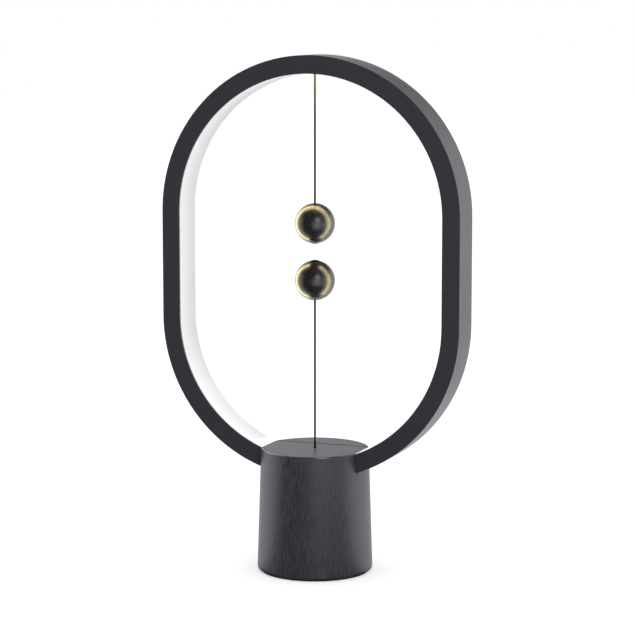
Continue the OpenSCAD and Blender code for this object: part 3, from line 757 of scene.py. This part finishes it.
def upright_path(low: float, high: float, step: float = 0.25 * MM) -> np.ndarray:
    """Gives points straight up the lamp's centre line, closer together at both ends.

    Args:
        low: The height it starts at.
        high: The height it ends at.
        step: The distance between points.

    Returns:
        The points, one row each.
    """
    ends = np.array([0.0, 0.02, 0.06, 0.13, 0.23, 0.35]) * MM
    middle = np.arange(low + 0.5 * MM, high - 0.5 * MM, step)
    z = np.concatenate([low + ends, middle, (high - ends)[::-1]])
    return np.stack([np.zeros_like(z), np.zeros_like(z), z], axis=1)


def level_grid(half: float, height: float, steps: int = 12) -> np.ndarray:
    """Gives the points of a level square sheet: point (i, j) is at step i along X and step j along Y.

    Args:
        half: Half the square's side.
        height: The sheet's height.
        steps: How many steps each side has.

    Returns:
        The grid of points.
    """
    side = np.linspace(-half, half, steps + 1)
    return np.stack(np.broadcast_arrays(side[:, None], side[None, :], np.full((1, 1), height)), axis=-1)


def open_sheet(grid: np.ndarray) -> tuple[np.ndarray, Faces]:
    """Joins a grid of points into an open sheet.

    Args:
        grid: The points, rows by columns by three.

    Returns:
        The points, and the faces as point numbers.
    """
    number = np.arange(grid.shape[0] * grid.shape[1]).reshape(grid.shape[:2])
    corners = [number[:-1, :-1], number[1:, :-1], number[1:, 1:], number[:-1, 1:]]
    return grid.reshape(-1, 3), [tuple(f) for f in np.stack(corners, axis=-1).reshape(-1, 4).tolist()]


# ---------- sub-assemblies ----------


@dataclass
class Studio:
    """Camera, white surroundings, floor, cards that the lamp mirrors, and two soft lights.

    Places of the camera and the lights are bearing and height in degrees and distance in metres, as the
    method towards takes them. Edges and rises are where a change starts and ends: in degrees of bearing
    for the cards all round, in metres along an axis for the floor's and the warm card, and in shares of
    the round card's radius for heights.
    """

    camera_at: Triple = (21.01, 7.73, 1.808975)
    lens: float = 132.616
    target: Triple = (0.00219, 0.00084, 0.197875)
    plain_level: float = 0.88
    floor_paint: Colour = (0.86, 0.86, 0.86)
    floor_reach: float = 9.0
    floor_lift: float = 0.262
    floor_seen_lift: float = 0.14
    card_radius: float = 4.0
    card_dark: Colour = (0.03, 0.03, 0.036)
    card_soft: Colour = (1.0, 1.0, 1.06)
    left_edge: Pair = (-72.0, -48.0)
    right_edge: Pair = (79.0, 102.0)
    soft_rise: Pair = (-2.0, 25.0)
    soft_fall: Pair = (36.0, 60.0)
    soft_left: float = 0.5
    soft_top: Pair = (0.14, 0.4)
    overhead: Pair = (0.3, 0.54)
    floor_card: Pair = (3.0, 0.0004)
    floor_edge: Pair = (0.35, 0.75)
    front_y: Pair = (-0.3, -0.05)
    warm_glow: Colour = (7.8, 6.5, 3.1)
    warm_rise: Pair = (-0.014, 0.02)
    warm_fall: Pair = (0.038, 0.061)
    warm_right: Pair = (0.0, 0.09)
    warm_right_share: float = 0.58
    warm_radius: float = 104.0 * MM
    warm_centres: Pair = (200.5 * MM, 278.5 * MM)
    softbox_at: Triple = (38.0, 26.0, 1.6)
    softbox_size: Pair = (0.6, 0.6)
    softbox_power: float = 2.2
    edge_light_at: Triple = (-128.0, 35.0, 1.4)
    edge_light_size: Pair = (0.9, 0.5)
    edge_light_power: float = 5.5
    edge_light_colour: Colour = (0.9, 0.9, 1.0)
    warm_card: bpy.types.Object | None = None

    def build(self) -> None:
        """Builds the camera, the world, the floor, the cards and the lights."""
        self.add_camera()
        self.light_world()
        self.lay_floor()
        self.hang_cards()
        self.area_light("softbox", self.softbox_at, self.softbox_size, self.softbox_power)
        self.add_edge_light()
        bpy.context.scene.view_settings.view_transform = "Standard"
        LOG.info("studio built")

    def towards(self, bearing: float, height: float, distance: float) -> Vector:
        """Gives a point seen from the target.

        Args:
            bearing: Degrees from straight ahead of the lamp, -Y, towards its right side, +X.
            height: Degrees above the horizon.
            distance: Metres from the target.

        Returns:
            The point.
        """
        a, e = math.radians(bearing), math.radians(height)
        way = Vector((math.sin(a) * math.cos(e), -math.cos(a) * math.cos(e), math.sin(e)))
        return Vector(self.target) + way * distance

    def add_camera(self) -> None:
        """Puts the camera where the photograph's outline says it stood."""
        data = bpy.data.cameras.new("camera")
        data.sensor_width, data.lens = 36.0, self.lens
        data.clip_start, data.clip_end = 0.05, 40.0
        camera = bpy.data.objects.new("camera", data)
        bpy.context.scene.collection.objects.link(camera)
        camera.location = self.towards(*self.camera_at)
        aim = Vector(self.target) - camera.location
        camera.rotation_euler = aim.to_track_quat("-Z", "Y").to_euler()
        bpy.context.scene.camera = camera

    def light_world(self) -> None:
        """Makes the surroundings white to look at and a plain level of light to stand in."""
        world = bpy.data.worlds.new("surroundings")
        world.use_nodes = True
        world.cycles.sampling_method = "NONE"
        bpy.context.scene.world = world
        tree = Tree(world.node_tree)
        plain, white = (
            tree.add("Background", {"Color": (1.0, 1.0, 1.0, 1.0), "Strength": level}).outputs[0]
            for level in (self.plain_level, 1.0)
        )
        both = tree.add("MixShader", {0: tree.seen(), 1: plain, 2: white}).outputs[0]
        tree.add("OutputWorld", {"Surface": both})

    def lay_floor(self) -> None:
        """Lays a pale floor that keeps the lamp's shadow and is otherwise as white as the surroundings.

        Its paint takes the shadow. The lift that is added where the floor is seen brings the rest to white,
        and a second lift for the camera alone keeps the shadow short.
        """
        material = bpy.data.materials.new("floor_white")
        material.use_nodes = True
        tree = Tree(material.node_tree)
        cloud = tree.ramp(tree.noise(tree.place((1.5, 1.5, 1.5)), detail=1.0), *NOISE_SPAN, 0.99, 1.0)
        paint = tree.add("BsdfDiffuse", {"Color": tree.tint(self.floor_paint, cloud)}).outputs[0]
        camera = tree.add("LightPath").outputs["Is Camera Ray"]
        direct = tree.maths("MULTIPLY", camera, self.floor_seen_lift)
        level = tree.maths("ADD", tree.maths("MULTIPLY", tree.seen(), self.floor_lift), direct)
        lift = tree.add("Emission", {"Color": (1.0, 1.0, 1.0, 1.0), "Strength": level}).outputs[0]
        both = tree.add("AddShader", {0: paint, 1: lift}).outputs[0]
        tree.add("OutputMaterial", {"Surface": both})
        rim = self.floor_reach + 0.01
        reach = np.concatenate([[0.0], np.geomspace(0.05, self.floor_reach, 24), [rim, rim, 0.0]])
        drop = np.where(np.arange(reach.size) < reach.size - 2, 0.0, -0.02)
        floor = into_mesh("floor", *lathe(np.stack([reach, drop], axis=1), (0.0, 0.0, -0.00005), 64))
        floor.data.materials.append(material)

    def card(
        self, name: str, points: np.ndarray, faces: Faces, surface: Callable[[Tree], Socket]
    ) -> bpy.types.Object:
        """Hangs one card, which only shows in what the lamp mirrors.

        Args:
            name: The card's name.
            points: Its points.
            faces: Its faces, as point numbers.
            surface: Builds the card's shader in a tree and gives its output.

        Returns:
            The card.
        """
        material = bpy.data.materials.new(name)
        material.use_nodes = True
        tree = Tree(material.node_tree)
        tree.add("OutputMaterial", {"Surface": surface(tree)})
        made = into_mesh(name, points, faces)
        made.data.materials.append(material)
        for ray in ("camera", "diffuse", "transmission", "volume_scatter", "shadow"):
            setattr(made, "visible_" + ray, False)
        return made

    def hang_cards(self) -> None:
        """Hangs a card round the scene, one over the floor and a warm one behind the hoop."""
        ball = lathe(arc((0.0, 0.0), self.card_radius, -90.0, 90.0, 24), (0.0, 0.0, 0.0), 64)
        self.card("card_round", *ball, self.round_shade)
        self.card("card_floor", *open_sheet(level_grid(*self.floor_card)), self.floor_shade)
        self.warm_card = self.card("card_warm", *open_sheet(self.warm_points()), self.warm_shade)

    def front_cover(self, tree: Tree, own: Sequence[Socket]) -> tuple[Socket, Socket]:
        """Gives how much a card covers and how bright it is, by its bearing from the lamp.

        Args:
            tree: The card's tree.
            own: Its X, Y and Z.

        Returns:
            The cover, 1 in front and 0 at the sides and the back, and the soft light's share.
        """
        bearing = tree.maths("DEGREES", tree.maths("ARCTAN2", own[0], tree.maths("MULTIPLY", own[1], -1.0)))
        left = tree.ramp(bearing, *self.left_edge, 0.0, 1.0)
        cover = tree.maths("MULTIPLY", left, tree.ramp(bearing, *self.right_edge, 1.0, 0.0))
        rise = tree.ramp(bearing, *self.soft_rise, 0.0, 1.0)
        return cover, tree.maths("MULTIPLY", rise, tree.ramp(bearing, *self.soft_fall, 1.0, self.soft_left))

    def card_shader(self, tree: Tree, cover: Socket, soft: Socket) -> Socket:
        """Mixes the card's grey with clear.

        Args:
            tree: The card's tree.
            cover: How much the card covers, from 0 to 1.
            soft: The soft light's share of its grey.

        Returns:
            The shader's output.
        """
        colour = tree.blend(soft, self.card_dark, self.card_soft)
        grey = tree.add("Emission", {"Color": colour, "Strength": 1.0}).outputs[0]
        clear = tree.add("BsdfTransparent").outputs[0]
        return tree.add("MixShader", {0: cover, 1: clear, 2: grey}).outputs[0]

    def round_shade(self, tree: Tree) -> Socket:
        """Is dark in front and overhead, soft to the camera's right, and clear low at the sides and back.

        Args:
            tree: The card's tree.

        Returns:
            The shader's output.
        """
        own = tree.add("SeparateXYZ", {0: tree.place((1.0 / self.card_radius,) * 3)}).outputs
        cover, soft = self.front_cover(tree, own)
        cover = tree.maths("MAXIMUM", cover, tree.ramp(own[2], *self.overhead, 0.0, 1.0))
        soft = tree.maths("MULTIPLY", soft, tree.ramp(own[2], *self.soft_top, 1.0, 0.0))
        return self.card_shader(tree, cover, soft)

    def floor_shade(self, tree: Tree) -> Socket:
        """Is dark on the floor in front of the lamp, and follows the round card farther out.

        Args:
            tree: The card's tree.

        Returns:
            The shader's output.
        """
        own = tree.add("SeparateXYZ", {0: tree.place((1.0, 1.0, 1.0))}).outputs
        cover, soft = self.front_cover(tree, own)
        squares = [tree.maths("POWER", own[k], 2.0) for k in (0, 1)]
        far = tree.ramp(tree.maths("SQRT", tree.maths("ADD", *squares)), *self.floor_edge, 0.0, 1.0)
        front = tree.ramp(own[1], *self.front_y, 1.0, 0.0)
        near = tree.maths("MULTIPLY", front, tree.maths("SUBTRACT", 1.0, far))
        return self.card_shader(tree, tree.maths("MAXIMUM", cover, near), tree.maths("MULTIPLY", soft, far))

    def warm_shade(self, tree: Tree) -> Socket:
        """Adds the strip light's warm glow to what is behind the card, less at its edges and on the right.

        Args:
            tree: The card's tree.

        Returns:
            The shader's output.
        """
        across, depth = tree.axis("Object", 0), tree.axis("Object", 1)
        rise, fall = tree.ramp(depth, *self.warm_rise, 0.0, 1.0), tree.ramp(depth, *self.warm_fall, 1.0, 0.0)
        right = tree.ramp(across, *self.warm_right, 1.0, self.warm_right_share)
        strength = tree.maths("MULTIPLY", tree.maths("MULTIPLY", rise, fall), right)
        glow = tree.add("Emission", {"Color": (*self.warm_glow, 1.0), "Strength": strength}).outputs[0]
        return tree.add("AddShader", {0: glow, 1: tree.add("BsdfTransparent").outputs[0]}).outputs[0]

    def warm_only_on(self, balls: Sequence[bpy.types.Object]) -> None:
        """Lets the warm card show on the polished balls alone, as matt pieces near it would turn yellow.

        Args:
            balls: The balls.
        """
        mirrors = bpy.data.collections.new("warm_mirrors")
        for ball in balls:
            mirrors.objects.link(ball)
        self.warm_card.light_linking.receiver_collection = mirrors
        LOG.info("warm card linked to %d balls", len(balls))

    def warm_points(self) -> np.ndarray:
        """Gives a ribbon along the hoop's outline, set back behind it: point (i, j) is at step i and depth j.

        The outline is two half circles of radius r about heights a and b, so at angle t from straight down it
        is (r sin t, a - r cos t) below and (r sin t, b - r cos t) above.

        Returns:
            The grid of points.
        """
        r = self.warm_radius
        t = np.radians(np.linspace(30.0, 330.0, 71))
        middle = np.where(np.cos(t) > 0, *self.warm_centres)
        depth = np.linspace(self.warm_rise[0], self.warm_fall[1], 4)[None, :]
        x, z = (r * np.sin(t))[:, None], (middle - r * np.cos(t))[:, None]
        return np.stack(np.broadcast_arrays(x, depth, z), axis=-1)

    def area_light(
        self, name: str, at: Triple, size: Pair, power: float
    ) -> bpy.types.Object:
        """Hangs a soft rectangular light that is aimed at the target.

        Args:
            name: The light's name.
            at: Its bearing, height and distance.
            size: Its width and height.
            power: Its power in watts.

        Returns:
            The light.
        """
        data = bpy.data.lights.new(name, "AREA")
        data.shape, data.size, data.size_y = "RECTANGLE", *size
        data.energy = power
        box = bpy.data.objects.new(name, data)
        bpy.context.scene.collection.objects.link(box)
        box.location = self.towards(*at)
        box.rotation_euler = (Vector(self.target) - box.location).to_track_quat("-Z", "Y").to_euler()
        box.visible_camera = False
        return box

    def add_edge_light(self) -> None:
        """Adds the light behind the left side that only the base takes, for the shine along its top edge."""
        takers = bpy.data.collections.new("edge_takers")
        for name in ("base_shell", "base_rear_cover"):
            takers.objects.link(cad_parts[name])
        light = self.area_light("edge_light", self.edge_light_at, self.edge_light_size, self.edge_light_power)
        light.data.color = self.edge_light_colour
        light.light_linking.receiver_collection = takers


@dataclass
class HangingBall:
    """A brushed ball with its magnet, cap and cord crimp, on one of the two cords.

    Cord_side is 1 where the cord leaves upwards and -1 where it leaves downwards.
    """

    side: str
    body: str
    centre_z: float
    cord_side: int
    radius: float = 15.5 * MM
    cord_bore: float = 1.45 * MM
    cord_bore_l: float = 8.0 * MM
    magnet_bore: float = 3.35 * MM
    magnet_bore_l: float = 13.6 * MM
    lip: float = 0.16 * MM

    def build(self) -> bpy.types.Object:
        """Turns the ball: down the cord's bore, over its lip, round the sphere and up the magnet's bore.

        Returns:
            The ball, which stands for its CAD node.
        """
        r = self.radius
        top = self.lipped_edge(self.cord_bore)
        low = self.lipped_edge(self.magnet_bore)[::-1] * np.array([1.0, -1.0])
        upper, lower = (math.degrees(math.atan2(*end[::-1])) for end in (top[-1], low[0]))
        skin = arc((0.0, 0.0), r, upper, lower, 120)[1:-1]
        inner_top = [(0.0, r - self.cord_bore_l), (self.cord_bore, r - self.cord_bore_l)]
        inner_low = [(self.magnet_bore, self.magnet_bore_l - r), (0.0, self.magnet_bore_l - r)]
        profile = np.vstack([inner_top, top, skin, low, inner_low]) * np.array([1.0, float(self.cord_side)])
        ball = into_mesh(self.side + "_ball_skin", *lathe(profile, (0.0, 0.0, self.centre_z)))
        ball.data.materials.append(LACQUER.material())
        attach(ball, self.body)
        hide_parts(self.side + "_ball")
        LOG.info("%s turned", ball.name)
        return ball

    def lipped_edge(self, bore: float) -> np.ndarray:
        """Rounds the edge between a bore and the sphere with a small lip.

        The lip's circle touches the bore's wall and the sphere from inside, so its centre is one lip radius
        outside the wall and lies the ball's radius less the lip from the ball's centre.

        Args:
            bore: The bore's radius.

        Returns:
            The lip's points, from the bore's wall to the sphere.
        """
        x = bore + self.lip
        h = math.sqrt((self.radius - self.lip) ** 2 - x**2)
        return arc((x, h), self.lip, 180.0, math.degrees(math.atan2(h, x)), 6)

    def dress(self) -> None:
        """Finishes the pieces that stay as CAD nodes."""
        dress(NICKEL, self.side + "_magnet")
        dress(CAP_BLACK, self.side + "_ball_cap")
        dress(DARK_BRASS, self.side + "_cord_crimp")


@dataclass
class UpperCord:
    """The cord that hangs from the top of the hoop, with its knot and its bush."""

    low: float = 279.3 * MM
    high: float = 384.12 * MM
    exit_z: float = 386.0 * MM
    diameter: float = 1.6 * MM

    def build(self) -> bpy.types.Object:
        """Returns:
            The cord, which stands for its CAD node.
        """
        path = upright_path(self.low, self.high)[::-1]
        cord = twisted_cord("upper_cord_yarn", path, self.diameter / 2)
        # The yarn with the strip light's warm spill painted on its start
        cord.data.materials.append(SPILL_PAINTED_YARN.material())
        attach(cord, "upper_pendulum")
        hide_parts("upper_cord")
        LOG.info("%s twisted", cord.name)
        return cord

    def dress(self) -> None:
        """Finishes the pieces that stay as CAD nodes."""
        dress(YARN, "upper_cord_bend", "upper_cord_knot")
        dress(BLACK_MOULDING, "upper_cord_bush")
        dress(PALE_MOULDING, "upper_cord_anchor")


@dataclass
class LowerCord:
    """The cord that the magnet holds upright, and its tail inside the base.

    Step_up is the part of the free length that its hinge in the eyelet hides, and give sets two heights on
    each side of the rim's bend, which the build works out but does not use.
    """

    bend_z: float = 101.5 * MM
    rim_z: float = 148.5 * MM
    high: float = 219.2 * MM
    exit_z: float = 96.5 * MM
    step_up: float = 0.88 * MM
    diameter: float = 1.6 * MM
    give: float = 8.0 * MM

    def build(self) -> bpy.types.Object:
        """Returns:
            The cord, which stands for its CAD nodes.
        """
        path = upright_path(self.bend_z + self.step_up, self.high)
        cord = twisted_cord("lower_cord_yarn", path, self.diameter / 2)
        cord.data.materials.append(YARN.material())
        start, end = (0.0, 0.0, self.rim_z - self.give), (0.0, 0.0, self.rim_z + self.give)
        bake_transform(cord)
        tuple(start)
        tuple(end)
        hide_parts("lower_cord_mid", "lower_cord_end")
        LOG.info("%s twisted", cord.name)
        return cord

    def dress(self) -> None:
        """Finishes the pieces that stay as CAD nodes."""
        dress(YARN, "lower_cord_tail")
        dress(BRASS, "cord_ferrule")
        dress(BLACK_MOULDING, "base_cord_bush")


@dataclass
class LightHoop:
    """The hoop: its foiled shell and rear cover, the opal channel and the light strip."""

    def dress(self) -> None:
        """Finishes the hoop's pieces."""
        dress(HOOP_FOIL, "hoop_shell", "hoop_rear_cover")
        dress(OPAL, "hoop_diffuser")
        dress(STRIP, "led_strip")
        dress(CHIPS, "led_chips")
        dress(RED_WIRE, "led_leads")
        dress(PLATED, "hoop_screws")


@dataclass
class Base:
    """The base: two grained shells, the floor with its ballast and board, and the socket."""

    def dress(self) -> None:
        """Finishes the base's pieces."""
        dress(BASE_FOIL, "base_shell", "base_rear_cover")
        dress(BLACK_MOULDING, "base_floor")
        dress(RUBBER, "foot_pad")
        dress(BALLAST, "ballast_weight")
        dress(BOARD, "driver_board")
        dress(DARK_PART, "board_capacitor", "board_inductor", "board_chips")
        dress(PALE_MOULDING, "lead_connectors")
        dress(PLATED, "usb_socket", "floor_screws", "ballast_screws", "board_screws")


@dataclass
class PullSwitch:
    """The switch that the lower cord works: carrier, lever, spring and microswitch."""

    def dress(self) -> None:
        """Finishes the switch's pieces."""
        dress(PALE_MOULDING, "switch_carrier", "switch_lever")
        dress(BLACK_MOULDING, "microswitch_body")
        dress(RED_WIRE, "switch_plunger")
        dress(BLACK_WIRE, "switch_leads")
        dress(TERMINAL, "switch_terminals")
        dress(PLATED, "lever_pin", "switch_pins", "return_spring", "carrier_screws")


def write_sizes() -> None:
    """Logs one line; it works out and writes no boxes."""
    LOG.info("sizes written")


def main() -> None:
    """Builds the studio, then the lamp: cords, balls, hoop, base and switch."""
    logging.basicConfig(level=logging.INFO, format="%(message)s")
    studio = Studio()
    studio.build()
    for cord in (UpperCord(), LowerCord()):
        cord.build()
        cord.dress()
    upper = HangingBall("upper", "upper_pendulum", 271.3 * MM, 1)
    lower = HangingBall("lower", "lower_ball_set", 227.2 * MM, -1)
    studio.warm_only_on([ball.build() for ball in (upper, lower)])
    for ball in (upper, lower):
        ball.dress()
    for assembly in (LightHoop(), Base(), PullSwitch()):
        assembly.dress()
    write_sizes()


if __name__ == "__main__":
    main()
